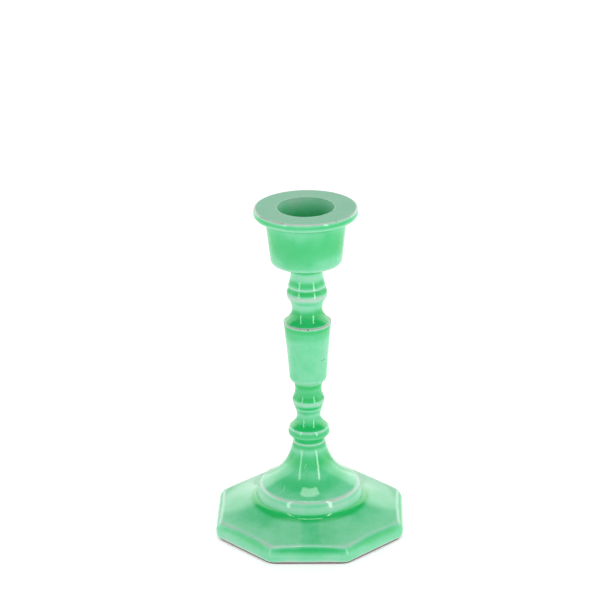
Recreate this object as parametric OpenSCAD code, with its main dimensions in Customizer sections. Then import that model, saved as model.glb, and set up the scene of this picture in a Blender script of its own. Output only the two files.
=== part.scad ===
// Candlestick of enamelled metal: an octagonal base, a bell foot and a turned stem in three
// lengths, topped by a flanged cup for one candle. A threaded rod holds the stack together.

/* [Felt pad] */
// Thickness of the felt under the base
felt_t = 0.7; // [0.5:0.1:2]
// How far the felt stands back from the widest part of the facets
felt_inset = 1.0; // [0.8:0.1:2.5]

/* [Base plate] */
// Distance across flats at the widest part of the facets
base_across = 74.8; // [66:0.2:90]
// How far each facet curves in from there to its arris
facet_lean = 2.15; // [1:0.05:3]
// Height of the plate at the seat of the bell foot
base_h = 11.9; // [9.6:0.1:14]
// Height of the plate at the arris, in the middle of a facet
arris_h = 6.8; // [5.6:0.1:7.4]
// How far the arris falls away from there to each corner
corner_drop = 0.45; // [0.2:0.05:1]
// How far the top sags below a straight cone
base_sag = 0.8; // [0:0.1:1.6]
// Rounding at the foot of the facets
foot_round = 0.9; // [0.3:0.1:1.2]
// How much the eight corners are rounded off
corner_cut = 0.6; // [0:0.1:1.2]
// Wall behind the facets, measured at the middle of a facet
rim_wall = 3.2; // [2.5:0.1:4]
// Thickness of the plate above its hollow
plate_t = 3.4; // [2.5:0.1:4]

/* [Bell foot] */
// Height of the bell foot
bell_h = 24.35; // [20:0.05:30]
// Radius of the ring at its foot
ring_foot_r = 21.3; // [19:0.1:26]
// Radius of the ring at its upper arris
ring_arris_r = 19.9; // [17:0.1:24]
// Height of the ring
ring_h = 5.65; // [4.5:0.05:7]
// Radius of the bell's throat, under the stem
throat_r = 6.4; // [6:0.1:8]
// Wall of the bell
bell_wall = 2.6; // [2:0.1:3]
// Solid metal left above the bell's hollow
bell_roof = 6; // [5:0.1:8]

/* [Lower stem] */
// Height of the lower stem
lower_h = 26; // [23:0.2:31]
// Radius of the knop just above the bell foot
knop_r = 8.3; // [7.4:0.1:10]
// Radius of the slim waist above the knop
waist_r = 4.75; // [4.4:0.05:5.2]
// Radius of the bead
bead_r = 6.4; // [6:0.1:7.6]
// Radius of the neck under the barrel
lower_neck_r = 5.3; // [4.8:0.1:6]

/* [Barrel] */
// Height of the barrel
barrel_h = 25.3; // [21:0.1:30.5]
// Radius at the upper arris
barrel_top_r = 9.5; // [8.8:0.05:11]
// Radius just above the rounded foot
barrel_foot_r = 7.45; // [7:0.05:8.5]
// How far the side hollows in from a straight taper
barrel_hollow = 0.3; // [0:0.1:0.6]
// Rounding of the barrel's foot
barrel_round = 1.4; // [0.6:0.1:1.6]

/* [Upper stem] */
// Height of the upper stem
upper_h = 25; // [21:0.1:29]
// Radius of the hollow above the barrel
hollow_r = 5.9; // [5.4:0.1:6.5]
// Radius of the collar
collar_r = 7.95; // [7.4:0.05:9.5]
// Radius of the sharp ridge above the collar
ridge_r = 7.35; // [7:0.05:8]
// Radius of the neck under the cup
neck_r = 6.4; // [5.9:0.1:6.9]

/* [Candle cup] */
// Radius of the candle socket
candle_r = 11.15; // [9.3:0.05:13.4]
// Depth of the candle socket
socket_depth = 15; // [13:0.1:20]
// Wall of the cup at the foot of the socket
cup_wall = 2.95; // [2.4:0.05:3.6]
// How much the cup widens from its foot to the flange
cup_taper = 1.8; // [0.5:0.05:2]
// Rounding of the cup's lower edge
cup_round = 1.6; // [0.8:0.05:2.4]
// Metal left under the nut well
cup_floor = 2.8; // [2.4:0.1:4]
// Width of the flange beyond the cup
flange_w = 4.4; // [3:0.1:6]
// Thickness of the flange
flange_t = 3.5; // [3:0.1:4.6]

/* [Rod and fasteners] */
// Radius of the threaded rod
rod_r = 2.5; // [2:0.1:3]
// Height of the nut in the cup, a thin one
cup_nut_h = 2.7; // [2.2:0.1:3.3]
// Height of the nut under the base
base_nut_h = 4; // [3.3:0.1:4.8]
// Thickness of the steel washer in the cup
cup_washer_t = 1; // [0.8:0.1:1.2]
// Thickness of the fibre washer that keeps the enamel from chipping
fibre_t = 0.5; // [0.4:0.1:0.8]
// Thickness of the wide washer under the base
base_washer_t = 1.2; // [1:0.1:1.5]
// Width of that washer's ring
base_washer_w = 4.8; // [4:0.1:6]
// Thickness of the spring washer
spring_t = 1.2; // [1:0.1:1.4]

/* [Fits] */
// Gap round the rod inside the turned pieces and washers
rod_gap = 0.2; // [0.1:0.05:0.4]
// Gap between the rod and the nuts' threads
thread_gap = 0.05; // [0.03:0.01:0.1]
// Wall of the spigots that centre each piece on the one below
spigot_wall = 1.5; // [1.2:0.1:1.8]
// Height of the spigots
spigot_h = 1; // [0.8:0.1:1.3]
// Gap round a spigot and over its top
spigot_gap = 0.1; // [0.05:0.05:0.2]

/* [Hidden] */
$fn = 96;
over = 1;                 // how far a cut runs past a face
curve_steps = 5;          // straight pieces in each bend of an outline
arris_over = 0.2;         // how far the facets run on above the top of the plate

// Heights at which the pieces meet, from the table up
base_z = felt_t;
bell_z = base_z + base_h;
lower_z = bell_z + bell_h;
barrel_z = lower_z + lower_h;
upper_z = barrel_z + barrel_h;
cup_z = upper_z + upper_h;
well_z = cup_z + cup_floor;
well_depth = fibre_t + cup_washer_t + cup_nut_h + 0.4;
socket_z = well_z + well_depth;
top_z = socket_z + socket_depth;

rod_hole_r = rod_r + rod_gap;
spigot_r = rod_hole_r + spigot_wall;
nut_flats = 3.2 * rod_r;                       // across flats of a standard nut
nut_corner_r = nut_flats / 2 / cos(30);
well_r = nut_corner_r + 1.9;                   // room for a box spanner
base_nut_z = base_z + 0.8;
spring_z = base_nut_z + base_nut_h;
base_washer_z = spring_z + spring_t;
plate_under_z = base_washer_z + base_washer_t;
rod_foot_z = base_nut_z - 0.4;
rod_top_z = socket_z - 0.6;
bell_seat_r = ring_arris_r - bell_wall;        // inside of the bell where it sits on the plate
green = [0.36, 0.83, 0.56];

// A bend from a to b, pulled towards the corner c
function bend(a, c, b) = [for (i = [0 : curve_steps])
    let (t = i / curve_steps) (1 - t) * (1 - t) * a + 2 * t * (1 - t) * c + t * t * b];

// Where the outline passes between two of its points: at a sharp one, or else halfway
function between(a, b) = a[2] == 1 ? [a.x, a.y] : b[2] == 1 ? [b.x, b.y] : [a.x + b.x, a.y + b.y] / 2;

// An outline through [radius, height, 1] as a sharp corner and past [radius, height, 0] as a soft one
function outline(p) = [for (i = [0 : len(p) - 1]) each p[i][2] == 1 ? [[p[i].x, p[i].y]]
    : let (b = bend(between(p[i - 1], p[i]), [p[i].x, p[i].y], between(p[i], p[i + 1])))
      [for (k = [(p[i - 1][2] == 1 ? 1 : 0) : curve_steps - (p[i + 1][2] == 1 || i < len(p) - 2 ? 1 : 0)]) b[k]]];

// A turned solid at height z, its outline given from the top down
module turned(z, p) translate([0, 0, z]) rotate_extrude()
    polygon(concat([[0, p[0].y]], outline(p), [[0, p[len(p) - 1].y]]));

module rod_hole(z, h) translate([0, 0, z - over]) cylinder(r = rod_hole_r, h = h + 2 * over);

// The spigot that stands on a piece's top, and the recess for it in the piece above
module spigot(z) translate([0, 0, z - over]) cylinder(r = spigot_r, h = spigot_h + over);
module spigot_recess(z) translate([0, 0, z - over])
    cylinder(r = spigot_r + spigot_gap, h = spigot_h + spigot_gap + over);

module ring(z, inner, outer, h) translate([0, 0, z]) difference() {
    cylinder(r = outer, h = h);
    translate([0, 0, -over]) cylinder(r = inner, h = h + 2 * over);
}

// A right prism with eight sides, one of them facing front
module octagon(across, h) rotate([0, 0, 22.5]) cylinder(r = across / 2 / cos(22.5), h = h, $fn = 8);

module hex_nut(z, h) translate([0, 0, z]) difference() {
    cylinder(r = nut_corner_r, h = h, $fn = 6);
    translate([0, 0, -over]) cylinder(r = rod_r + thread_gap, h = h + 2 * over);
}

module felt_pad() color([0.36, 0.10, 0.14]) octagon(base_across - 2 * felt_inset, felt_t);

// The eight curved facets: four bars, each with the section of the plate, laid across one another
module facets() {
    half = base_across / 2;
    widest_h = 0.4 * arris_h;
    side = concat(bend([half - foot_round, 0], [half, 0.25 * foot_round], [half, widest_h]),
                  bend([half, widest_h], [half - 0.1, 0.7 * arris_h],
                       [half - facet_lean - arris_over, arris_h + arris_over]),
                  [[half - 2 * facet_lean, 2 * base_h]]);
    section = concat(side, [for (i = [len(side) - 1 : -1 : 0]) [-side[i].x, side[i].y]]);
    intersection_for (turn = [0 : 45 : 135]) rotate([90, 0, turn])
        linear_extrude(height = 2 * base_across, center = true) polygon(section);
}

module base_plate() {
    arris_r = base_across / 2 - facet_lean;              // middle of a facet
    top_corner_r = (base_across / 2 - 0.7 * facet_lean) / cos(22.5) - corner_cut / 2;
    corner_r = base_across / 2 / cos(22.5) - corner_cut;
    mid_r = (ring_foot_r + arris_r) / 2;
    mid_h = (base_h + arris_h) / 2 - base_sag;
    hollow_rim_r = base_across / 2 - rim_wall;
    hub_r = bell_seat_r;
    color(green) translate([0, 0, base_z]) difference() {
        union() {
            intersection() {
                facets();
                turned(0, [[ring_foot_r, base_h, 1], [mid_r, mid_h, 0],
                           [arris_r, arris_h, 1], [top_corner_r, arris_h - corner_drop, 1],
                           [corner_r - 0.1, 0.7 * arris_h, 0], [corner_r, 0.4 * arris_h, 1],
                           [corner_r, 0.25 * foot_round, 0], [corner_r - foot_round, 0, 1]]);
            }
            translate([0, 0, base_h - over]) cylinder(r = bell_seat_r - spigot_gap, h = spigot_h + over);
        }
        turned(0, [[hub_r, plate_under_z - base_z, 1], [hub_r, base_h - plate_t, 1],
                   [hollow_rim_r, arris_h - plate_t + 0.3, 1], [hollow_rim_r, -over, 1]]);
        rod_hole(0, base_h + spigot_h);
    }
}

// The flare of the bell, from its throat down to the arris of the ring
function bell_flare() = [[throat_r, bell_h, 1], [throat_r + 0.5, bell_h - 3.1, 0],
    [throat_r + 3.05, bell_h - 9.65, 0], [throat_r + 8.2, ring_h + 3.05, 0], [ring_arris_r, ring_h, 1]];

module bell_foot() color(green) {
    hollow = [for (p = bell_flare()) [p.x - bell_wall, p.y - bell_wall, p[2]]];
    difference() {
        union() {
            turned(bell_z, concat(bell_flare(), [[ring_foot_r, 0, 1]]));
            spigot(lower_z);
        }
        intersection() {
            turned(bell_z, concat(hollow, [[bell_seat_r, -over, 1]]));
            translate([0, 0, bell_z - over]) cylinder(r = ring_foot_r, h = bell_h - bell_roof + over);
        }
        rod_hole(bell_z, bell_h + spigot_h);
    }
}

module lower_stem() color(green) difference() {
    union() {
        turned(lower_z, [
            [lower_neck_r + 0.6, lower_h, 1],
            [lower_neck_r - 0.05, lower_h - 2.2, 0], [lower_neck_r + 0.1, lower_h - 5.1, 0],
            [bead_r - 0.6, lower_h - 6.3, 0], [bead_r + 0.35, lower_h - 8.6, 0],
            [bead_r - 0.9, lower_h - 11.3, 1], [bead_r - 0.95, lower_h - 11.9, 1],
            [waist_r + 0.2, lower_h - 12.7, 0], [waist_r - 0.25, 9.1, 0],
            [knop_r - 0.55, 6.1, 1], [knop_r + 0.35, 3.6, 0], [knop_r - 0.95, 2.5, 0],
            [throat_r + 0.15, 0.9, 1], [throat_r, 0, 1]]);
        spigot(barrel_z);
    }
    spigot_recess(lower_z);
    rod_hole(lower_z, lower_h + spigot_h);
}

module barrel() color(green) difference() {
    union() {
        turned(barrel_z, [
            [barrel_top_r - 0.2, barrel_h, 1], [barrel_top_r, barrel_h - 0.4, 1],
            [(barrel_top_r + barrel_foot_r) / 2 - barrel_hollow, barrel_h / 2 + 1, 0],
            [barrel_foot_r, 1.5 * barrel_round, 1], [barrel_foot_r, 0.4 * barrel_round, 0],
            [barrel_foot_r - barrel_round, 0, 1]]);
        spigot(upper_z);
    }
    spigot_recess(barrel_z);
    rod_hole(barrel_z, barrel_h + spigot_h);
}

module upper_stem() color(green) difference() {
    union() {
        turned(upper_z, [
            [neck_r + 1.2, upper_h, 1], [neck_r + 0.1, upper_h - 2.2, 0],
            [neck_r - 0.15, upper_h - 6.6, 0],
            [ridge_r, upper_h - 9.7, 1], [ridge_r, upper_h - 10.6, 1],
            [collar_r, upper_h - 12.1, 0], [collar_r + 0.15, upper_h - 14.1, 0],
            [hollow_r + 0.3, upper_h - 17, 0], [hollow_r - 0.1, 3.2, 0],
            [barrel_top_r - 0.45, 0, 1]]);
        spigot(cup_z);
    }
    spigot_recess(upper_z);
    rod_hole(upper_z, upper_h + spigot_h);
}

module candle_cup() color(green) {
    wall_r = candle_r + cup_wall;
    cup_h = top_z - cup_z;
    flange_r = wall_r + cup_taper + flange_w;
    difference() {
        turned(cup_z, [
            [flange_r - 0.4, cup_h, 1], [flange_r, cup_h - 0.6, 0], [flange_r, cup_h - 1.4, 1],
            [flange_r, cup_h - flange_t + 1.3, 1], [flange_r - 0.2, cup_h - flange_t, 0],
            [flange_r - 1.4, cup_h - flange_t, 1], [wall_r + cup_taper, cup_h - flange_t, 1],
            [wall_r, cup_round, 1], [wall_r - 0.1, 0, 0], [wall_r - cup_round, 0, 1]]);
        translate([0, 0, socket_z]) cylinder(r = candle_r, h = socket_depth + over);
        translate([0, 0, well_z]) cylinder(r = well_r, h = well_depth + over);
        rod_hole(cup_z, cup_floor);
        spigot_recess(cup_z);
    }
}

module tie_rod() color("silver") translate([0, 0, rod_foot_z]) cylinder(r = rod_r, h = rod_top_z - rod_foot_z);

module cup_nut() color("silver") hex_nut(well_z + fibre_t + cup_washer_t, cup_nut_h);

module cup_washer() color("silver") ring(well_z + fibre_t, rod_hole_r, nut_corner_r + 0.6, cup_washer_t);

module fibre_washer() color([0.55, 0.22, 0.16]) ring(well_z, rod_hole_r, nut_corner_r + 1.2, fibre_t);

module base_washer() color("silver")
    ring(base_washer_z, rod_hole_r, rod_hole_r + base_washer_w, base_washer_t);

module spring_washer() color("dimgray") difference() {
    ring(spring_z, rod_hole_r, nut_corner_r, spring_t);
    translate([0, -spring_t / 4, spring_z - over]) cube([2 * nut_corner_r, spring_t / 2, spring_t + 2 * over]);
}

module base_nut() color("silver") hex_nut(base_nut_z, base_nut_h);

felt_pad();
base_plate();
bell_foot();
lower_stem();
barrel();
upper_stem();
candle_cup();
tie_rod();
cup_nut();
cup_washer();
fibre_washer();
base_washer();
spring_washer();
base_nut();
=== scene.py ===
import math

import bmesh
import bpy
from mathutils import Matrix, Vector


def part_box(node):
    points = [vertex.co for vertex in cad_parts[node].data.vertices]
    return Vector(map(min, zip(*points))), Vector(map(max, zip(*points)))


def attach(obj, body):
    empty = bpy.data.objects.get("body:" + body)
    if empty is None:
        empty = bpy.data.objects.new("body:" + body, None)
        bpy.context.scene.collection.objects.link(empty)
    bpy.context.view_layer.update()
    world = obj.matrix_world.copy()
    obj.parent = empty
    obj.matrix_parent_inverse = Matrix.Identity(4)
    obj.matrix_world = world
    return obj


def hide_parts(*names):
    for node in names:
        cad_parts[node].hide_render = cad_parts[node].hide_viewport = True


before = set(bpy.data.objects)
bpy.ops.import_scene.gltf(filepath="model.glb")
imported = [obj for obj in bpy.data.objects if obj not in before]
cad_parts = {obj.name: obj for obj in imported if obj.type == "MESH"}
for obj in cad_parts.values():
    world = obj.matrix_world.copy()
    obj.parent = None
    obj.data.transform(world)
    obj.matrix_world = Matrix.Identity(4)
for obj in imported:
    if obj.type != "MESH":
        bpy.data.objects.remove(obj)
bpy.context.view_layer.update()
mm = 0.001


def low(node):
    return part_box(node)[0].z / mm


def high(node):
    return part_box(node)[1].z / mm


# An outline's points are (radius, height, kind) in millimetres. Kind "soft" pulls the curve
# towards the point, and a number makes a corner that is rounded over that distance.
def bend(a, corner, b, steps=12):
    curve = []
    for i in range(steps + 1):
        t = i / steps
        curve.append(a * (1 - t) ** 2 + corner * (2 * t * (1 - t)) + b * t ** 2)
    return curve


def between(a, b):
    if a[2] != "soft":
        return Vector(a[:2])
    if b[2] != "soft":
        return Vector(b[:2])
    return (Vector(a[:2]) + Vector(b[:2])) / 2


def drawCurve(points):
    line, corners = [], []
    for i, point in enumerate(points):
        here = Vector(point[:2])
        if point[2] == "soft":
            line += bend(between(points[i - 1], point), here, between(point, points[i + 1]))
        else:
            line.append(here)
            if point[2]:
                corners.append((here, point[2]))
    return line, corners


def roundCorner(line, corner, radius):
    at = min(range(len(line)), key=lambda i: (line[i] - corner).length)
    first = last = at
    while first > 0 and (line[first] - corner).length < radius:
        first -= 1
    while last < len(line) - 1 and (line[last] - corner).length < radius:
        last += 1
    a = corner + (line[first] - corner).normalized() * radius
    b = corner + (line[last] - corner).normalized() * radius
    return line[:first + 1] + bend(a, corner, b, 8) + line[last:]


def outline(points, longest=0.45):
    line, corners = drawCurve(points)
    for corner, radius in corners:
        line = roundCorner(line, corner, radius)
    dense = [line[0]]
    for p in line[1:]:
        gap = (p - dense[-1]).length
        if gap < 0.01:
            continue
        start, parts = dense[-1], math.ceil(gap / longest)
        dense += [start.lerp(p, k / parts) for k in range(1, parts + 1)]
    return dense


# The depth of the enamel along an outline, from 0, bare, to 1, pooled, with painted shade in it. It draws
# back from an edge and gathers just below it, and it gathers where the outline turns inwards; just below an
# edge and in an inward turn
# the added depth is partly pooled enamel and partly painted shade. A pool adds to it near one place on the
# outline:
# (radius, height, reach, amount); a pool under an overhang or in a hollow is likewise pooled enamel and
# painted shade.
coatAndShadeRules = {"usual": 0.5, "edgeLoss": 0.62, "edgeReach": 0.30, "bankPoolAndShade": 0.26, "bankBelow": 1.3,
             "bankReach": 0.75, "groovePoolAndShade": 0.42, "grooveReach": 0.8}


def coatAndShadeAlong(line, poolsAndShade=()):
    c = coatAndShadeRules
    along = [0.0]
    for a, b in zip(line, line[1:]):
        along.append(along[-1] + (b - a).length)
    turns = []
    for i in range(len(line)):
        a, b = line[i] - line[i - 1], line[(i + 1) % len(line)] - line[i]
        if a.length < 1e-6 or b.length < 1e-6:
            turns.append(0.0)
        else:
            turns.append(math.atan2(a.x * b.y - a.y * b.x, a.dot(b)))

    def near(distance, reach):
        return math.exp(-(distance / reach) ** 2 / 2)

    depthsAndShade = []
    for i, p in enumerate(line):
        depthAndShade = c["usual"]
        for k, turn in enumerate(turns):
            past = along[i] - along[k]
            if abs(turn) < 0.002 or abs(past) > 5:
                continue
            if turn < 0:
                depthAndShade += turn * c["edgeLoss"] * near(past, c["edgeReach"])
                depthAndShade -= turn * c["bankPoolAndShade"] * near(past - c["bankBelow"], c["bankReach"])
            else:
                depthAndShade += turn * c["groovePoolAndShade"] * near(past, c["grooveReach"])
        for radius, height, reach, amount in poolsAndShade:
            depthAndShade += amount * math.exp(-((p.x - radius) ** 2 + (p.y - height) ** 2) / reach ** 2)
        depthsAndShade.append(min(max(depthAndShade, 0.0), 1.0))
    return depthsAndShade


def link(tree, a, b):
    tree.links.new(a, b)


def addMath(tree, operation, first, second=None):
    node = tree.nodes.new("ShaderNodeMath")
    node.operation = operation
    for socket, value in zip(node.inputs, (first, second)):
        if isinstance(value, bpy.types.NodeSocket):
            link(tree, value, socket)
        elif value is not None:
            socket.default_value = value
    return node.outputs[0]


# The lathe is a Geometry Nodes tree that turns an outline round the axis.
lathe = {"steps": 168, "wideSteps": 192, "rippleHeight": 0.014, "rippleScale": 130.0}


def makeLathe():
    tree = bpy.data.node_groups.new("latheTree", "GeometryNodeTree")
    sockets = tree.interface
    sockets.new_socket("Outline", in_out="INPUT", socket_type="NodeSocketGeometry")
    for name, kind in (("Points", "NodeSocketInt"), ("Steps round", "NodeSocketInt"),
                       ("Ripple height", "NodeSocketFloat"), ("Ripple scale", "NodeSocketFloat"),
                       ("Seed", "NodeSocketFloat"), ("Finish", "NodeSocketMaterial")):
        sockets.new_socket(name, in_out="INPUT", socket_type=kind)
    sockets.new_socket("Turned", in_out="OUTPUT", socket_type="NodeSocketGeometry")
    new = tree.nodes.new
    given = new("NodeGroupInput").outputs

    across = addMath(tree, "ADD", given["Steps round"], 1)
    grid = new("GeometryNodeMeshGrid")
    link(tree, given["Points"], grid.inputs["Vertices X"])
    link(tree, across, grid.inputs["Vertices Y"])
    index = new("GeometryNodeInputIndex").outputs[0]
    row = addMath(tree, "FLOOR", addMath(tree, "DIVIDE", addMath(tree, "ADD", index, 0.5), across))
    step = addMath(tree, "SUBTRACT", index, addMath(tree, "MULTIPLY", row, across))
    turn = addMath(tree, "DIVIDE", step, given["Steps round"])
    angle = addMath(tree, "MULTIPLY", turn, math.tau)

    def sample(kind, field):
        node = new("GeometryNodeSampleIndex")
        node.data_type = kind
        link(tree, given["Outline"], node.inputs["Geometry"])
        link(tree, field, node.inputs["Value"])
        link(tree, row, node.inputs["Index"])
        return node.outputs[0]

    def named(name):
        node = new("GeometryNodeInputNamedAttribute")
        node.data_type = "FLOAT"
        node.inputs["Name"].default_value = name
        return node.outputs["Attribute"]

    place = new("ShaderNodeSeparateXYZ")
    link(tree, sample("FLOAT_VECTOR", new("GeometryNodeInputPosition").outputs[0]), place.inputs[0])
    turned = new("ShaderNodeCombineXYZ")
    radius = place.outputs[0]
    link(tree, addMath(tree, "MULTIPLY", radius, addMath(tree, "COSINE", angle)), turned.inputs[0])
    link(tree, addMath(tree, "MULTIPLY", radius, addMath(tree, "SINE", angle)), turned.inputs[1])
    link(tree, place.outputs[2], turned.inputs[2])
    shaped = new("GeometryNodeSetPosition")
    link(tree, grid.outputs["Mesh"], shaped.inputs["Geometry"])
    link(tree, turned.outputs[0], shaped.inputs["Position"])

    stored = new("GeometryNodeStoreNamedAttribute")
    stored.data_type = "FLOAT"
    stored.inputs["Name"].default_value = "coatAndShade"
    link(tree, shaped.outputs[0], stored.inputs["Geometry"])
    link(tree, sample("FLOAT", named("coatAndShade")), stored.inputs["Value"])
    merged = new("GeometryNodeMergeByDistance")
    merged.inputs["Distance"].default_value = 1e-6
    link(tree, stored.outputs[0], merged.inputs["Geometry"])

    ripple = new("ShaderNodeTexNoise")
    ripple.noise_dimensions = "4D"
    link(tree, given["Seed"], ripple.inputs["W"])
    link(tree, given["Ripple scale"], ripple.inputs["Scale"])
    wave = addMath(tree, "SUBTRACT", ripple.outputs[0], 0.5)
    offset = new("ShaderNodeVectorMath")
    offset.operation = "SCALE"
    link(tree, new("GeometryNodeInputNormal").outputs[0], offset.inputs[0])
    link(tree, addMath(tree, "MULTIPLY", wave, given["Ripple height"]), offset.inputs["Scale"])
    rippled = new("GeometryNodeSetPosition")
    link(tree, merged.outputs[0], rippled.inputs["Geometry"])
    link(tree, offset.outputs[0], rippled.inputs["Offset"])

    real = new("GeometryNodeRealizeInstances")
    link(tree, rippled.outputs[0], real.inputs[0])
    finish = new("GeometryNodeSetMaterial")
    link(tree, real.outputs[0], finish.inputs["Geometry"])
    link(tree, given["Finish"], finish.inputs["Material"])
    link(tree, finish.outputs[0], new("NodeGroupOutput").inputs[0])
    return tree


latheTree = makeLathe()


def settle(piece):
    if piece.modifiers:
        shown = piece.evaluated_get(bpy.context.evaluated_depsgraph_get())
        mesh = bpy.data.meshes.new_from_object(shown)
        outlineMesh = piece.data
        piece.modifiers.clear()
        piece.data = mesh
        bpy.data.meshes.remove(outlineMesh)
    mesh = piece.data
    mesh.name = piece.name
    work = bmesh.new()
    work.from_mesh(mesh)
    bmesh.ops.recalc_face_normals(work, faces=work.faces)
    work.to_mesh(mesh)
    work.free()
    mesh.shade_smooth()
    mesh.set_sharp_from_angle(angle=math.radians(38))


def turnPiece(name, line, coatAndShade, finish, steps, seed):
    mesh = bpy.data.meshes.new(name)
    mesh.from_pydata([(p.x * mm, 0, p.y * mm) for p in line], [], [])
    mesh.attributes.new("coatAndShade", "FLOAT", "POINT").data.foreach_set("value", coatAndShade)
    piece = bpy.data.objects.new(name, mesh)
    bpy.context.scene.collection.objects.link(piece)
    modifier = piece.modifiers.new("lathe", "NODES")
    modifier.node_group = latheTree
    values = {"Points": len(line), "Steps round": steps, "Ripple height": lathe["rippleHeight"] * mm,
              "Ripple scale": lathe["rippleScale"], "Seed": seed, "Finish": finish}
    for item in latheTree.interface.items_tree:
        if item.in_out == "INPUT" and item.name in values:
            modifier[item.identifier] = values[item.name]
    settle(piece)
    return piece


def newMaterial(name):
    material = bpy.data.materials.new(name)
    material.use_nodes = True
    tree = material.node_tree
    return material, tree, tree.nodes["Principled BSDF"]


def addNoise(tree, where, scale, detail=3.0, rough=0.5):
    node = tree.nodes.new("ShaderNodeTexNoise")
    node.inputs["Scale"].default_value = scale
    node.inputs["Detail"].default_value = detail
    node.inputs["Roughness"].default_value = rough
    link(tree, where, node.inputs["Vector"])
    return node.outputs[0]


def addRange(tree, value, low, high, toLow=0.0, toHigh=1.0, smooth=True):
    node = tree.nodes.new("ShaderNodeMapRange")
    node.interpolation_type = "SMOOTHSTEP" if smooth else "LINEAR"
    link(tree, value, node.inputs["Value"])
    for name, number in (("From Min", low), ("From Max", high), ("To Min", toLow), ("To Max", toHigh)):
        node.inputs[name].default_value = number
    return node.outputs[0]


def addRamp(tree, value, stops):
    node = tree.nodes.new("ShaderNodeValToRGB")
    ramp = node.color_ramp
    while len(ramp.elements) < len(stops):
        ramp.elements.new(0.5)
    for element, (place, color) in zip(ramp.elements, stops):
        element.position = place
        element.color = (*color, 1)
    link(tree, value, node.inputs[0])
    return node.outputs[0]


def addMix(tree, factor, a, b):
    node = tree.nodes.new("ShaderNodeMix")
    node.data_type = "RGBA"
    for socket, value in ((node.inputs["Factor"], factor), (node.inputs[6], a), (node.inputs[7], b)):
        if isinstance(value, bpy.types.NodeSocket):
            link(tree, value, socket)
        elif isinstance(value, tuple):
            socket.default_value = (*value, 1)
        else:
            socket.default_value = value
    return node.outputs[2]


def addBump(tree, height, distance, strength):
    node = tree.nodes.new("ShaderNodeBump")
    node.inputs["Strength"].default_value = strength
    node.inputs["Distance"].default_value = distance
    link(tree, height, node.inputs["Height"])
    return node.outputs[0]


# Each depth of enamel has its color: grey where it is worn thin, deep green where it pooled and where shade
# is painted in.
enamelLook = {
    "depthsAndShade": [(0.0, (0.40, 0.44, 0.41)), (0.10, (0.46, 0.53, 0.47)), (0.22, (0.33, 0.60, 0.44)),
               (0.36, (0.225, 0.61, 0.385)), (0.52, (0.145, 0.59, 0.31)), (0.72, (0.065, 0.52, 0.20)),
               (1.0, (0.016, 0.46, 0.115))],
    "clouds": 0.27, "cloudScale": 90, "grain": 0.05, "grainScale": 1100,
    "worn": (0.07, 0.065, 0.06), "fleckScale": 1300, "patchScale": 120,
    "tarnish": (0.14, 0.145, 0.135), "tarnishAmount": 0.55,
    # the colour and amount on this line paint shade on the flange's top
    "flangeTopShade": (0.08, 0.36, 0.195), "flangeTopShadeAmount": 0.85,
    "darkMark": (0.03, 0.13, 0.07), "paleMark": (0.42, 0.72, 0.55),
    "roughness": 0.075, "wornRoughness": 0.12, "grainRoughness": 0.03,
    "peel": 0.000014, "peelScale": 380, "peelStrength": 0.6,
    "shine": 0.5, "shineLostInSocket": 0.4,
}

# small marks in the enamel: two ends in millimetres, half width, and how dark, or pale below 0
marks = [
    ((5.3, -6.0, 73.5), (6.6, -4.6, 73.7), 0.15, 0.8),
    ((-1.1, -8.4, 29.8), (-1.9, -9.2, 28.0), 0.12, -0.5),
    ((-0.7, -9.1, 28.8), (-1.1, -9.7, 27.5), 0.1, -0.5),
    ((-1.9, -9.9, 27.2), (-2.0, -10.7, 25.8), 0.12, -0.5),
    ((-9.7, -11.2, 21.7), (-10.1, -12.7, 20.6), 0.13, -0.6),
    ((-10.1, -12.7, 20.6), (-11.7, -13.7, 19.4), 0.13, -0.4),
    ((24.0, -20.2, 8.2), (25.0, -19.6, 8.1), 0.14, -0.4),
]


def nearMark(tree, where, a, b, width):
    a, b = Vector(a) * mm, Vector(b) * mm
    toA = tree.nodes.new("ShaderNodeVectorMath")
    toA.operation = "SUBTRACT"
    link(tree, where, toA.inputs[0])
    toA.inputs[1].default_value = a
    along = tree.nodes.new("ShaderNodeVectorMath")
    along.operation = "DOT_PRODUCT"
    link(tree, toA.outputs[0], along.inputs[0])
    along.inputs[1].default_value = (b - a) / (b - a).length_squared
    part = addRange(tree, along.outputs["Value"], 0, 1, smooth=False)
    step = tree.nodes.new("ShaderNodeVectorMath")
    step.operation = "SCALE"
    step.inputs[0].default_value = b - a
    link(tree, part, step.inputs["Scale"])
    away = tree.nodes.new("ShaderNodeVectorMath")
    away.operation = "DISTANCE"
    link(tree, toA.outputs[0], away.inputs[0])
    link(tree, step.outputs[0], away.inputs[1])
    return addRange(tree, away.outputs["Value"], width * mm * 1.6, width * mm * 0.4)


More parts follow.
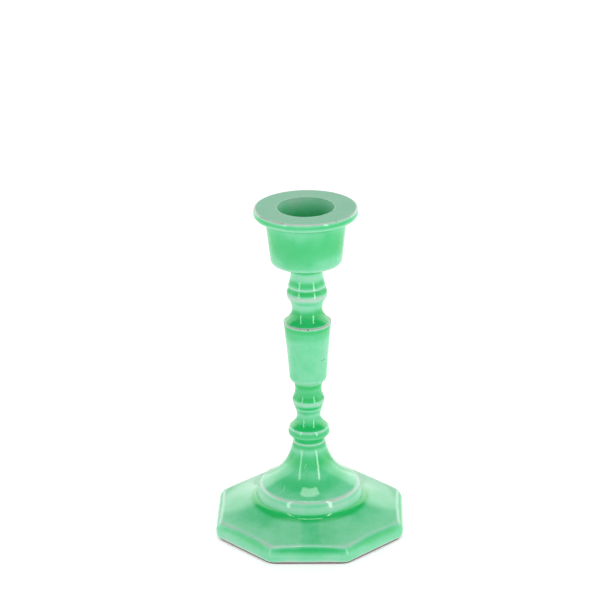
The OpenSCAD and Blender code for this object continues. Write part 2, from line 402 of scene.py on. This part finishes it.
def makeEnamel():
    look = enamelLook
    cupTop = high("candle_cup") * mm
    material, tree, surface = newMaterial("greenEnamel")
    where = tree.nodes.new("ShaderNodeTexCoord").outputs["Object"]
    place = tree.nodes.new("ShaderNodeSeparateXYZ")
    link(tree, where, place.inputs[0])
    right, back, up = place.outputs
    coatAndShade = tree.nodes.new("ShaderNodeAttribute")
    coatAndShade.attribute_name = "coatAndShade"
    depthAndShade = coatAndShade.outputs["Fac"]

    # the depth with its painted shade, clouded except where it is thin, with a fine grain
    clouds = addMath(tree, "SUBTRACT", addNoise(tree, where, look["cloudScale"], 3.0, 0.55), 0.5)
    grain = addMath(tree, "SUBTRACT", addNoise(tree, where, look["grainScale"], 3.0, 0.6), 0.5)
    clouded = addMath(tree, "MULTIPLY", clouds, 2 * look["clouds"])
    clouded = addMath(tree, "MULTIPLY", clouded, addRange(tree, depthAndShade, 0.0, 0.35))
    grained = addMath(tree, "MULTIPLY", grain, 2 * look["grain"])
    color = addRamp(tree, addMath(tree, "ADD", addMath(tree, "ADD", depthAndShade, clouded), grained), look["depthsAndShade"])

    # dark flecks where the coat is worn through along an arris, most on the cup's rims, left and back
    spots = addRange(tree, addNoise(tree, where, look["fleckScale"], 2.0), 0.50, 0.62)
    patches = addRange(tree, addNoise(tree, where, look["patchScale"], 1.0), 0.49, 0.6)
    bare = addRange(tree, depthAndShade, 0.16, 0.02)
    side = addMath(tree, "MAXIMUM", addRange(tree, right, -2 * mm, -12 * mm),
                   addRange(tree, back, -2 * mm, 3 * mm))
    rim = addMath(tree, "MULTIPLY", side, addRange(tree, up, cupTop - 2.15 * mm, cupTop - 1.15 * mm))
    flecks = addMath(tree, "MULTIPLY", spots, addMath(tree, "MAXIMUM", patches, rim))
    color = addMix(tree, addMath(tree, "MULTIPLY", flecks, bare), color, look["worn"])
    tarnish = addMath(tree, "MULTIPLY", addMath(tree, "MULTIPLY", rim, bare), look["tarnishAmount"])
    color = addMix(tree, tarnish, color, look["tarnish"])

    # the top of the flange is painted darker and greyer: painted shade on its upward face
    flangeTopShadeMask = addRange(tree, up, cupTop - 0.55 * mm, cupTop - 0.25 * mm, 0.0, look["flangeTopShadeAmount"])
    flangeTopShade = addMath(tree, "MULTIPLY", flangeTopShadeMask, addRange(tree, depthAndShade, 0.15, 0.4))
    color = addMix(tree, flangeTopShade, color, look["flangeTopShade"])

    for a, b, width, dark in marks:
        mark = addMath(tree, "MULTIPLY", nearMark(tree, where, a, b, width), abs(dark))
        color = addMix(tree, mark, color, look["darkMark"] if dark > 0 else look["paleMark"])
    link(tree, color, surface.inputs["Base Color"])

    # less shine inside the socket, from wax
    flat = tree.nodes.new("ShaderNodeCombineXYZ")
    link(tree, right, flat.inputs[0])
    link(tree, back, flat.inputs[1])
    reach = tree.nodes.new("ShaderNodeVectorMath")
    reach.operation = "LENGTH"
    link(tree, flat.outputs[0], reach.inputs[0])
    socket = addMath(tree, "MULTIPLY", addRange(tree, reach.outputs["Value"], 11.7 * mm, 11.4 * mm),
                     addRange(tree, up, cupTop - 16.65 * mm, cupTop - 15.15 * mm))
    lost = addMath(tree, "MULTIPLY", socket, look["shineLostInSocket"])
    link(tree, addMath(tree, "SUBTRACT", look["shine"], lost), surface.inputs["Specular IOR Level"])

    surface.inputs["IOR"].default_value = 1.5
    rougher = addMath(tree, "ADD", addMath(tree, "MULTIPLY", bare, look["wornRoughness"]), look["roughness"])
    uneven = addMath(tree, "MULTIPLY", grain, look["grainRoughness"])
    link(tree, addMath(tree, "ADD", uneven, rougher), surface.inputs["Roughness"])
    peel = addNoise(tree, where, look["peelScale"], 2.0)
    link(tree, addBump(tree, peel, look["peel"], look["peelStrength"]), surface.inputs["Normal"])
    return material


def makeFelt():
    material, tree, surface = newMaterial("maroonFelt")
    where = tree.nodes.new("ShaderNodeTexCoord").outputs["Object"]
    fibres = addNoise(tree, where, 2600, 6.0, 0.7)
    tufts = addNoise(tree, where, 500, 3.0)
    fine = addRamp(tree, fibres, [(0.3, (0.045, 0.008, 0.014)), (0.7, (0.15, 0.035, 0.05))])
    coarse = addRamp(tree, tufts, [(0.3, (0.06, 0.01, 0.02)), (0.7, (0.13, 0.03, 0.045))])
    link(tree, addMix(tree, 0.35, fine, coarse), surface.inputs["Base Color"])
    surface.inputs["Roughness"].default_value = 0.95
    surface.inputs["Sheen Weight"].default_value = 0.1
    surface.inputs["Sheen Roughness"].default_value = 0.5
    link(tree, addBump(tree, fibres, 0.00012, 0.9), surface.inputs["Normal"])
    return material


def makeMetal(name, color, roughness):
    material, tree, surface = newMaterial(name)
    where = tree.nodes.new("ShaderNodeTexCoord").outputs["Object"]
    grain = addNoise(tree, where, 1500, 4.0, 0.6)
    clouds = addNoise(tree, where, 260, 2.0)
    dark = tuple(c * 0.72 for c in color)
    link(tree, addMix(tree, addRange(tree, clouds, 0.35, 0.7), color, dark), surface.inputs["Base Color"])
    surface.inputs["Metallic"].default_value = 1.0
    uneven = addRange(tree, grain, 0.3, 0.7, roughness * 0.8, roughness * 1.3)
    link(tree, uneven, surface.inputs["Roughness"])
    link(tree, addBump(tree, grain, 0.00001, 0.4), surface.inputs["Normal"])
    return material


def makeFibre():
    material, tree, surface = newMaterial("redFibre")
    where = tree.nodes.new("ShaderNodeTexCoord").outputs["Object"]
    strands = addNoise(tree, where, 1400, 5.0, 0.65)
    link(tree, addRamp(tree, strands, [(0.3, (0.16, 0.03, 0.02)), (0.7, (0.30, 0.07, 0.04))]),
         surface.inputs["Base Color"])
    surface.inputs["Roughness"].default_value = 0.7
    link(tree, addBump(tree, strands, 0.00002, 0.6), surface.inputs["Normal"])
    return material


greenEnamel = makeEnamel()
maroonFelt = makeFelt()
zincPlate = makeMetal("zincPlate", (0.66, 0.66, 0.63), 0.22)
springSteel = makeMetal("springSteel", (0.16, 0.16, 0.17), 0.35)
redFibre = makeFibre()
print("materials made")


def take(piece, node):
    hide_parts(node)
    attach(piece, "root")


# The enamelled pieces are turned, and each stands on the spigot of the one below.
fits = {"rodHole": 2.7, "spigot": 4.2, "spigotHeight": 1.0, "gap": 0.1}


def spigotTop(top):
    f = fits
    return [(f["rodHole"], top + f["spigotHeight"], 0.2), (f["spigot"], top + f["spigotHeight"], 0.2),
            (f["spigot"], top, 0)]


def recessFoot(foot, edge=0.1):
    f = fits
    recess, deep = f["spigot"] + f["gap"], foot + f["spigotHeight"] + f["gap"]
    return [(recess, foot, edge), (recess, deep, 0), (f["rodHole"], deep, 0)]


def enamelPiece(name, points, poolsAndShade, seed, steps=lathe["steps"]):
    line = outline(points)
    line.append(line[0].copy())
    piece = turnPiece(name, line, coatAndShadeAlong(line, poolsAndShade), greenEnamel, steps, seed)
    take(piece, name)


upperStem = {"neck": 6.4, "ridge": 7.35, "collar": 7.95, "hollow": 5.9, "foot": 9.05}


def makeUpperStem():
    s = upperStem
    foot, top = low("upper_stem"), high("upper_stem") - fits["spigotHeight"]
    points = [(s["neck"] + 1.2, top, 0), (s["neck"] + 0.1, top - 2.2, "soft"),
              (s["neck"] - 0.15, top - 6.6, "soft"), (s["ridge"], top - 9.7, 0.3),
              (s["ridge"], top - 10.6, 0.2), (s["collar"], top - 12.1, "soft"),
              (s["collar"] + 0.15, top - 14.1, "soft"), (s["hollow"] + 0.3, top - 17, "soft"),
              (s["hollow"] - 0.1, foot + 3.2, "soft"), (s["foot"], foot, 0)]
    # the first pool darkens the neck just under the cup: pooled enamel and painted shade under the cup
    poolsAndShade = [(s["neck"] + 0.5, top - 2.4, 0.8, 0.7), (s["neck"], top - 5.0, 1.4, -0.22),
             (s["neck"] + 0.3, top - 8.0, 1.1, 0.34), (s["ridge"], top - 9.8, 0.5, -0.3),
             (s["ridge"] + 0.3, top - 11.1, 0.9, 0.65), (s["collar"] - 0.1, top - 13.4, 1.3, -0.26),
             (s["hollow"] + 0.3, top - 17, 1.9, -0.2), (s["foot"] - 1.4, foot + 1.6, 2.2, 0.45),
             (s["hollow"] + 0.8, foot + 4.0, 1.7, 0.45), (s["foot"] - 0.4, foot + 0.6, 1.2, 0.4)]
    enamelPiece("upper_stem", spigotTop(top) + points + recessFoot(foot), poolsAndShade, 3.0)


barrel = {"top": 9.5, "foot": 7.45, "hollow": 0.3, "round": 1.4}


def makeBarrel():
    b = barrel
    foot, top = low("barrel"), high("barrel") - fits["spigotHeight"]
    middle = (b["top"] + b["foot"]) / 2
    points = [(b["top"] - 0.03, top, 0.32), (middle - b["hollow"], (top + foot) / 2 + 1, "soft"),
              (b["foot"], foot + 1.5 * b["round"], 0), (b["foot"], foot + 0.4 * b["round"], "soft"),
              (b["foot"] - b["round"], foot, 0)]
    poolsAndShade = [(b["top"] - 0.1, top - 1.4, 0.8, -0.1), (b["top"] - 0.3, top - 3.8, 2.8, 0.2),
             (b["foot"] + 0.8, foot + 9, 5.5, -0.03)]
    enamelPiece("barrel", spigotTop(top) + points + recessFoot(foot), poolsAndShade, 7.0)


lowerStem = {"neck": 5.3, "bead": 6.4, "waist": 4.75, "knop": 8.3, "throat": 6.4}


def makeLowerStem():
    s = lowerStem
    foot, top = low("lower_stem"), high("lower_stem") - fits["spigotHeight"]
    points = [(s["neck"] + 0.6, top, 0), (s["neck"] - 0.05, top - 2.2, "soft"),
              (s["neck"] + 0.1, top - 5.1, "soft"), (s["bead"] - 0.6, top - 6.3, "soft"),
              (s["bead"] + 0.35, top - 8.6, "soft"), (s["bead"] - 0.9, top - 11.3, 0.15),
              (s["bead"] - 0.95, top - 11.9, 0.25), (s["waist"] + 0.2, top - 12.7, "soft"),
              (s["waist"] - 0.25, foot + 9.1, "soft"), (s["knop"] - 0.55, foot + 6.1, 0.35),
              (s["knop"] + 0.35, foot + 3.6, "soft"), (s["knop"] - 0.95, foot + 2.5, "soft"),
              (s["throat"] + 0.15, foot + 0.9, 0.2), (s["throat"], foot, 0)]
    # the first pool darkens the neck just under the barrel: pooled enamel and painted shade under the barrel
    poolsAndShade = [(s["neck"] + 0.2, top - 1.0, 0.9, 0.4), (s["neck"], top - 4.6, 1.3, 0.2),
             (s["bead"] - 0.4, top - 6.8, 0.9, 0.7), (s["bead"], top - 8.7, 1.0, -0.28),
             (s["bead"] - 0.6, top - 10.4, 0.5, 0.3), (s["bead"] - 0.9, top - 11.4, 0.4, -0.25),
             (s["waist"], top - 13.8, 1.6, -0.16), (s["waist"] + 1.6, foot + 7.6, 1.6, 0.45),
             (s["knop"] - 0.55, foot + 6.1, 0.6, -0.25), (s["knop"], foot + 4.2, 1.4, 0.28),
             (s["knop"] - 1.2, foot + 6.7, 0.8, 0.3), (s["throat"] + 0.4, foot + 2.1, 0.4, 0.3),
             (s["throat"] + 0.15, foot + 0.9, 0.4, 0.3)]
    enamelPiece("lower_stem", spigotTop(top) + points + recessFoot(foot), poolsAndShade, 11.0)


bell = {"throat": 6.4, "arris": 19.9, "ring": 5.65, "ringFoot": 21.3, "wall": 2.6, "roof": 6.0}


def makeBellFoot():
    b = bell
    foot, top = low("bell_foot"), high("bell_foot") - fits["spigotHeight"]
    inside = b["arris"] - b["wall"]
    points = [(b["throat"], top, 0), (b["throat"] + 0.5, top - 3.1, "soft"),
              (b["throat"] + 3.05, top - 9.65, "soft"),
              (b["throat"] + 8.2, foot + b["ring"] + 3.05, "soft"), (b["arris"], foot + b["ring"], 0.9),
              ((b["arris"] + b["ringFoot"]) / 2 + 0.24, foot + b["ring"] / 2 + 0.1, "soft"),
              (b["ringFoot"], foot, 0), (inside, foot, 0), (inside, foot + b["ring"] - b["wall"], 0.5),
              (b["throat"] + 5.6, foot + b["ring"] + 0.4, "soft"),
              (b["throat"] + 0.45, top - 12.2, "soft"), (b["throat"] - 1.4, top - b["roof"], 0.3),
              (fits["rodHole"], top - b["roof"], 0)]
    # the last pool darkens the foot of the ring where it meets the base: pooled enamel and painted shade
    poolsAndShade = [(b["throat"], top, 0.5, 0.5), (b["throat"] + 0.4, top - 2.4, 1.3, -0.16),
             (b["throat"] + 1.6, top - 7, 3.0, 0.4), (b["throat"] + 7, foot + b["ring"] + 3.6, 3.6, 0.16),
             (b["arris"], foot + b["ring"], 0.8, -0.2), (b["arris"] + 0.7, foot + 3.4, 1.6, -0.26),
             (b["ringFoot"], foot, 1.0, 0.5)]
    enamelPiece("bell_foot", spigotTop(top) + points, poolsAndShade, 15.0, lathe["wideSteps"])


cup = {"socket": 11.15, "wall": 2.95, "taper": 1.8, "round": 1.6, "floor": 2.8, "socketDepth": 15.0,
       "flange": 4.4, "flangeThick": 3.5, "well": 6.52}


def makeCandleCup():
    c = cup
    foot, top = low("candle_cup"), high("candle_cup")
    wall = c["socket"] + c["wall"]
    flange = wall + c["taper"] + c["flange"]
    under = top - c["flangeThick"]
    floor = top - c["socketDepth"]
    points = [(c["socket"], top, 0.6), (flange - 0.4, top, 0.5), (flange, top - 0.6, "soft"),
              (flange, top - 1.4, 0), (flange, under + 1.3, 0), (flange - 0.2, under, "soft"),
              (flange - 1.4, under, 0), (wall + c["taper"], under, 0.5), (wall, foot + c["round"], 0),
              (wall - 0.1, foot, "soft"), (wall - c["round"], foot, 0), *recessFoot(foot, 0),
              (fits["rodHole"], foot + c["floor"], 0), (c["well"], foot + c["floor"], 0.3),
              (c["well"], floor, 0.4), (c["socket"], floor, 0.8)]
    # the first pool darkens the whole socket to the deepest green: pooled enamel and painted shade inside the
    # socket
    poolsAndShade = [(c["socket"] - 4, floor + 4, 6.3, 1.5), (wall + c["taper"], under - 2, 3.0, -0.06),
             (wall, foot + 8, 6.0, 0.06), (flange - 4.2, top, 3.4, 0.12),
             (c["socket"] + 0.15, top, 0.4, -0.4), (c["socket"], top - 1.2, 0.8, 0.3)]
    enamelPiece("candle_cup", points, poolsAndShade, 19.0, lathe["wideSteps"])


makeUpperStem()
makeBarrel()
makeLowerStem()
makeBellFoot()
makeCandleCup()
print("turned pieces made")


# The base plate and the felt are rings of points round the axis, each on a rounded octagon.
def octagonReach(angle, flat, cornerRound):
    turn = (angle + math.pi / 8) % (math.pi / 4) - math.pi / 8
    inner = flat - cornerRound
    edge = inner * math.tan(math.pi / 8)
    if abs(flat * math.tan(turn)) <= edge:
        return flat / math.cos(turn)
    away = math.hypot(inner, edge)      # to the middle of the rounded corner
    off = math.pi / 8 - abs(turn)
    return away * math.cos(off) + math.sqrt(cornerRound ** 2 - (away * math.sin(off)) ** 2)


def ringPiece(name, rings, closed, finish, coatsAndShade=None):
    steps, count = len(rings[0]), len(rings)
    faces = []
    for i in range(count if closed else count - 1):
        a, b = i * steps, (i + 1) % count * steps
        faces += [(a + k, a + (k + 1) % steps, b + (k + 1) % steps, b + k) for k in range(steps)]
    if not closed:
        faces += [tuple(range(steps)), tuple(range((count - 1) * steps, count * steps))]
    mesh = bpy.data.meshes.new(name)
    mesh.from_pydata([(x * mm, y * mm, z * mm) for ring in rings for x, y, z in ring], [], faces)
    if coatsAndShade:
        values = [value for ring in coatsAndShade for value in ring]
        mesh.attributes.new("coatAndShade", "FLOAT", "POINT").data.foreach_set("value", values)
    mesh.materials.append(finish)
    piece = bpy.data.objects.new(name, mesh)
    bpy.context.scene.collection.objects.link(piece)
    settle(piece)
    return piece


base = {"across": 74.8, "lean": 2.15, "height": 11.9, "arris": 6.8, "drop": 0.45, "sag": 0.8,
        "widest": 2.72, "footRound": 0.9, "cornerRound": 5.0, "cornerCut": 0.3, "arrisRound": 0.7,
        "fillet": 1.15, "filletUp": 1.35, "filletIn": 0.37, "rimWall": 3.2, "plate": 3.4, "steps": 384}


def plateTop(radius):
    b = base
    rim = b["across"] / 2 - b["lean"]
    mid = (b["height"] + b["arris"]) / 2 - b["sag"]
    t = (radius - bell["ringFoot"]) / (rim - bell["ringFoot"])
    if t > 1:
        corner = (b["across"] / 2 - 0.7 * b["lean"]) / math.cos(math.pi / 8) - b["cornerCut"]
        return b["arris"] - b["drop"] * (radius - rim) / (corner - rim)
    return b["height"] * (1 - t) ** 2 + mid * 2 * t * (1 - t) + b["arris"] * t * t


def facetReach(angle, height):
    b = base
    half = b["across"] / 2
    t = (height - b["widest"]) / (b["arris"] - b["widest"])
    x = half * (1 - t) ** 2 + (half - 0.1) * 2 * t * (1 - t) + (half - b["lean"]) * t * t
    return octagonReach(angle, x, b["cornerRound"] - half + x)


def arrisAt(angle):
    lowest, highest = 0.6 * base["arris"], 1.1 * base["arris"]
    for i in range(40):
        height = (lowest + highest) / 2
        if plateTop(facetReach(angle, height)) > height:
            lowest = height
        else:
            highest = height
    return Vector((facetReach(angle, height), height))


def makeBasePlate():
    b = base
    foot = low("base_plate")
    under = high("base_washer") - foot
    half = b["across"] / 2
    seat = bell["arris"] - bell["wall"]
    ring = bell["ringFoot"]
    spigot = seat - fits["gap"]
    rim = half - b["rimWall"]
    rimTop, plateUnder = b["arris"] - b["plate"], b["height"] - b["plate"]
    filletEnd = ring + b["fillet"]
    filletTop = (ring - b["filletIn"], b["height"] + b["filletUp"])
    middle = [(fits["rodHole"], b["height"] + 1), (spigot - 0.2, b["height"] + 1),
              (spigot, b["height"] + 0.8), (spigot, b["height"]), (ring - 0.6, b["height"])]
    fillet = bend(Vector(filletTop), Vector((ring + 0.02, b["height"] + 0.05)),
                  Vector((filletEnd, plateTop(filletEnd))), 9)
    sideFoot = bend(Vector((half - b["footRound"], 0)), Vector((half, 0.25 * b["footRound"])),
                    Vector((half, b["widest"])), 8)
    inside = [(rim + 0.3, 0), (rim, 0.3), (rim, rimTop - 0.3), (rim - 0.6, rimTop + 0.5),
              (seat + 0.8, plateUnder), (seat, plateUnder - 0.3), (seat, under + 0.3),
              (seat - 0.3, under), (fits["rodHole"], under)]
    rows, coatsAndShade = [], []
    for k in range(b["steps"]):
        angle = math.tau * k / b["steps"]
        edge = arrisAt(angle)
        arris = edge.x
        line = [Vector(q) for q in middle] + [q.copy() for q in fillet]
        for i in range(1, 26):
            radius = filletEnd + (arris - b["arrisRound"] - filletEnd) * i / 25
            line.append(Vector((radius, plateTop(radius))))
        below = edge.y - b["arrisRound"]
        line += bend(line[-1].copy(), edge, Vector((facetReach(angle, below), below)), 8)[1:-1]
        for i in range(10):
            height = below + (b["widest"] - below) * i / 10
            line.append(Vector((facetReach(angle, height), height)))
        for q in reversed(sideFoot):
            line.append(Vector((octagonReach(angle, q.x, b["cornerRound"] - half + q.x), q.y)))
        line += [Vector(q) for q in inside]
        turn = abs((angle + math.pi / 8) % (math.pi / 4) - math.pi / 8)
        flat = min((math.pi / 8 - turn) / 0.12, 1.0)      # fades to 0 at a corner
        rows.append([(p.x * math.cos(angle), p.x * math.sin(angle), p.y + foot) for p in line])
        # the first two pools darken the fillet round the foot of the bell's ring, and the third the top of
        # each facet below the arris: pooled enamel and painted shade
        poolsAndShade = [(ring + 0.8, b["height"] - 0.4, 1.5, 0.55), (*filletTop, 0.5, 0.6),
                 (arris + 0.8, edge.y - 1.8, 1.2, 0.3 * flat), (ring + 6.5, b["height"] - 1.2, 5.5, 0.08),
                 (half + 0.3, 1.2, 1.6, -0.2), (arris + 0.1, edge.y, 0.9, -0.12)]
        coatsAndShade.append(coatAndShadeAlong(line, poolsAndShade))
    piece = ringPiece("base_plate", list(zip(*rows)), True, greenEnamel, list(zip(*coatsAndShade)))
    take(piece, "base_plate")


felt = {"inset": 1.0, "cornerRound": 6.0, "steps": 256}


def makeFeltPad():
    top = high("felt_pad")
    half = base["across"] / 2 - felt["inset"]
    rings = []
    for part, inset in ((0.0, -0.2), (0.2, -0.04), (0.5, 0.0), (0.8, -0.04), (1.0, -0.2)):
        ring = []
        for k in range(felt["steps"]):
            angle = math.tau * k / felt["steps"]
            reach = octagonReach(angle, half, felt["cornerRound"]) + inset
            ring.append((reach * math.cos(angle), reach * math.sin(angle), part * top))
        rings.append(ring)
    take(ringPiece("felt_pad", rings, False, maroonFelt), "felt_pad")


makeBasePlate()
makeFeltPad()
print("base made")

for name, finish in (("tie_rod", zincPlate), ("cup_nut", zincPlate), ("cup_washer", zincPlate),
                     ("base_washer", zincPlate), ("base_nut", zincPlate), ("spring_washer", springSteel),
                     ("fibre_washer", redFibre)):
    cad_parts[name].material_slots[0].material = finish


stage = {"floorSize": 14.0, "floorColor": (0.9, 0.9, 0.9), "floorGlow": 0.3}
room = {"front": 0.8, "centre": 1.3, "back": 2.2, "frontToBack": (-0.6, 0.2), "centreEdge": (0.06, 0.3),
        "bandTop": (0.58, 0.40), "panel": 1.25, "panelEdge": (0.42, 0.24), "dark": 0.08}


def makeFloor():
    bpy.ops.mesh.primitive_plane_add(size=stage["floorSize"])
    floor = bpy.context.object
    floor.name = "floor"
    material, tree, surface = newMaterial("paleFloor")
    surface.inputs["Base Color"].default_value = (*stage["floorColor"], 1)
    surface.inputs["Roughness"].default_value = 0.8
    surface.inputs["Emission Color"].default_value = (1, 1, 1, 1)
    surface.inputs["Emission Strength"].default_value = stage["floorGlow"]
    floor.data.materials.append(material)


def makeRoom():
    # pale round the horizon, with a tall pale panel behind the object, and dark elsewhere
    world = bpy.data.worlds.new("studio")
    bpy.context.scene.world = world
    world.use_nodes = True
    tree = world.node_tree
    back = tree.nodes["Background"]
    back.inputs["Color"].default_value = (1, 1, 1, 1)
    way = tree.nodes.new("ShaderNodeSeparateXYZ")
    link(tree, tree.nodes.new("ShaderNodeTexCoord").outputs["Generated"], way.inputs[0])
    r = room
    aside, ahead, up = addMath(tree, "ABSOLUTE", way.outputs[0]), way.outputs[1], way.outputs[2]
    panel = addMath(tree, "MULTIPLY", addRange(tree, aside, *r["panelEdge"]),
                    addRange(tree, ahead, 0.0, 0.15, 0.0, r["panel"]))
    slope = addMath(tree, "DIVIDE", aside, addMath(tree, "MAXIMUM", ahead, 0.1))
    behind = addRange(tree, slope, *r["centreEdge"], r["centre"], r["back"])
    dimmed = addRange(tree, ahead, *r["frontToBack"], r["front"] / r["back"], 1.0)
    level = addMath(tree, "MULTIPLY", behind, dimmed)
    band = addMath(tree, "MULTIPLY", level, addRange(tree, up, *r["bandTop"]))
    strength = addMath(tree, "MAXIMUM", addMath(tree, "MAXIMUM", panel, band), r["dark"])
    link(tree, strength, back.inputs["Strength"])


# each lamp faces the axis at the height in aim; lengths in metres
lamps = {
    "overhead": {"place": (0, -0.31, 1.7), "aim": 0.06, "size": (0.85, 0.38), "power": 5.2},
    "stripLeft": {"place": (-1.0, -0.97, 0.87), "aim": 0.87, "size": (0.22, 1.72), "power": 6.2},
    "stripRight": {"place": (1.0, -0.97, 0.87), "aim": 0.87, "size": (0.20, 1.72), "power": 9.2},
}


def makeLamps():
    for name, lamp in lamps.items():
        data = bpy.data.lights.new(name, "AREA")
        data.shape = "RECTANGLE"
        data.size, data.size_y = lamp["size"]
        data.energy = lamp["power"]
        made = bpy.data.objects.new(name, data)
        bpy.context.scene.collection.objects.link(made)
        made.location = lamp["place"]
        away = Vector((0, 0, lamp["aim"])) - Vector(lamp["place"])
        made.rotation_euler = away.to_track_quat("-Z", "Y").to_euler()


# distance in metres, angles in degrees, and aside, lift and lens in millimetres
view = {"distance": 0.99378, "height": 27.316, "round": 1.476, "aside": -0.13, "tilt": 22.164,
        "pan": 0.170, "roll": -0.92, "lens": 146.28, "lift": 0.65}


def makeCamera():
    v = view
    height, tilt, pan, roll = (math.radians(v[k]) for k in ("height", "tilt", "pan", "roll"))
    spin = Matrix.Rotation(math.radians(v["round"]), 3, "Z")
    turn = Matrix.Rotation(pan, 3, "Z")
    place = Vector((v["aside"] * mm, -v["distance"] * math.cos(height),
                    v["distance"] * math.sin(height) + v["lift"] * mm))
    ahead = turn @ Vector((0, math.cos(tilt), -math.sin(tilt)))
    right = turn @ Vector((1, 0, 0))
    up = right.cross(ahead)
    across = right * math.cos(roll) + up * math.sin(roll)
    upright = up * math.cos(roll) - right * math.sin(roll)
    axes = spin @ Matrix((across, upright, -ahead)).transposed()
    camera = bpy.data.objects.new("camera", bpy.data.cameras.new("camera"))
    bpy.context.scene.collection.objects.link(camera)
    camera.matrix_world = Matrix.Translation(spin @ place) @ axes.to_4x4()
    camera.data.lens = v["lens"]
    camera.data.sensor_width = 36
    camera.data.clip_start, camera.data.clip_end = 0.01, 50
    bpy.context.scene.camera = camera


makeFloor()
makeRoom()
makeLamps()
makeCamera()
bpy.context.scene.view_settings.view_transform = "Standard"
print("stage made")
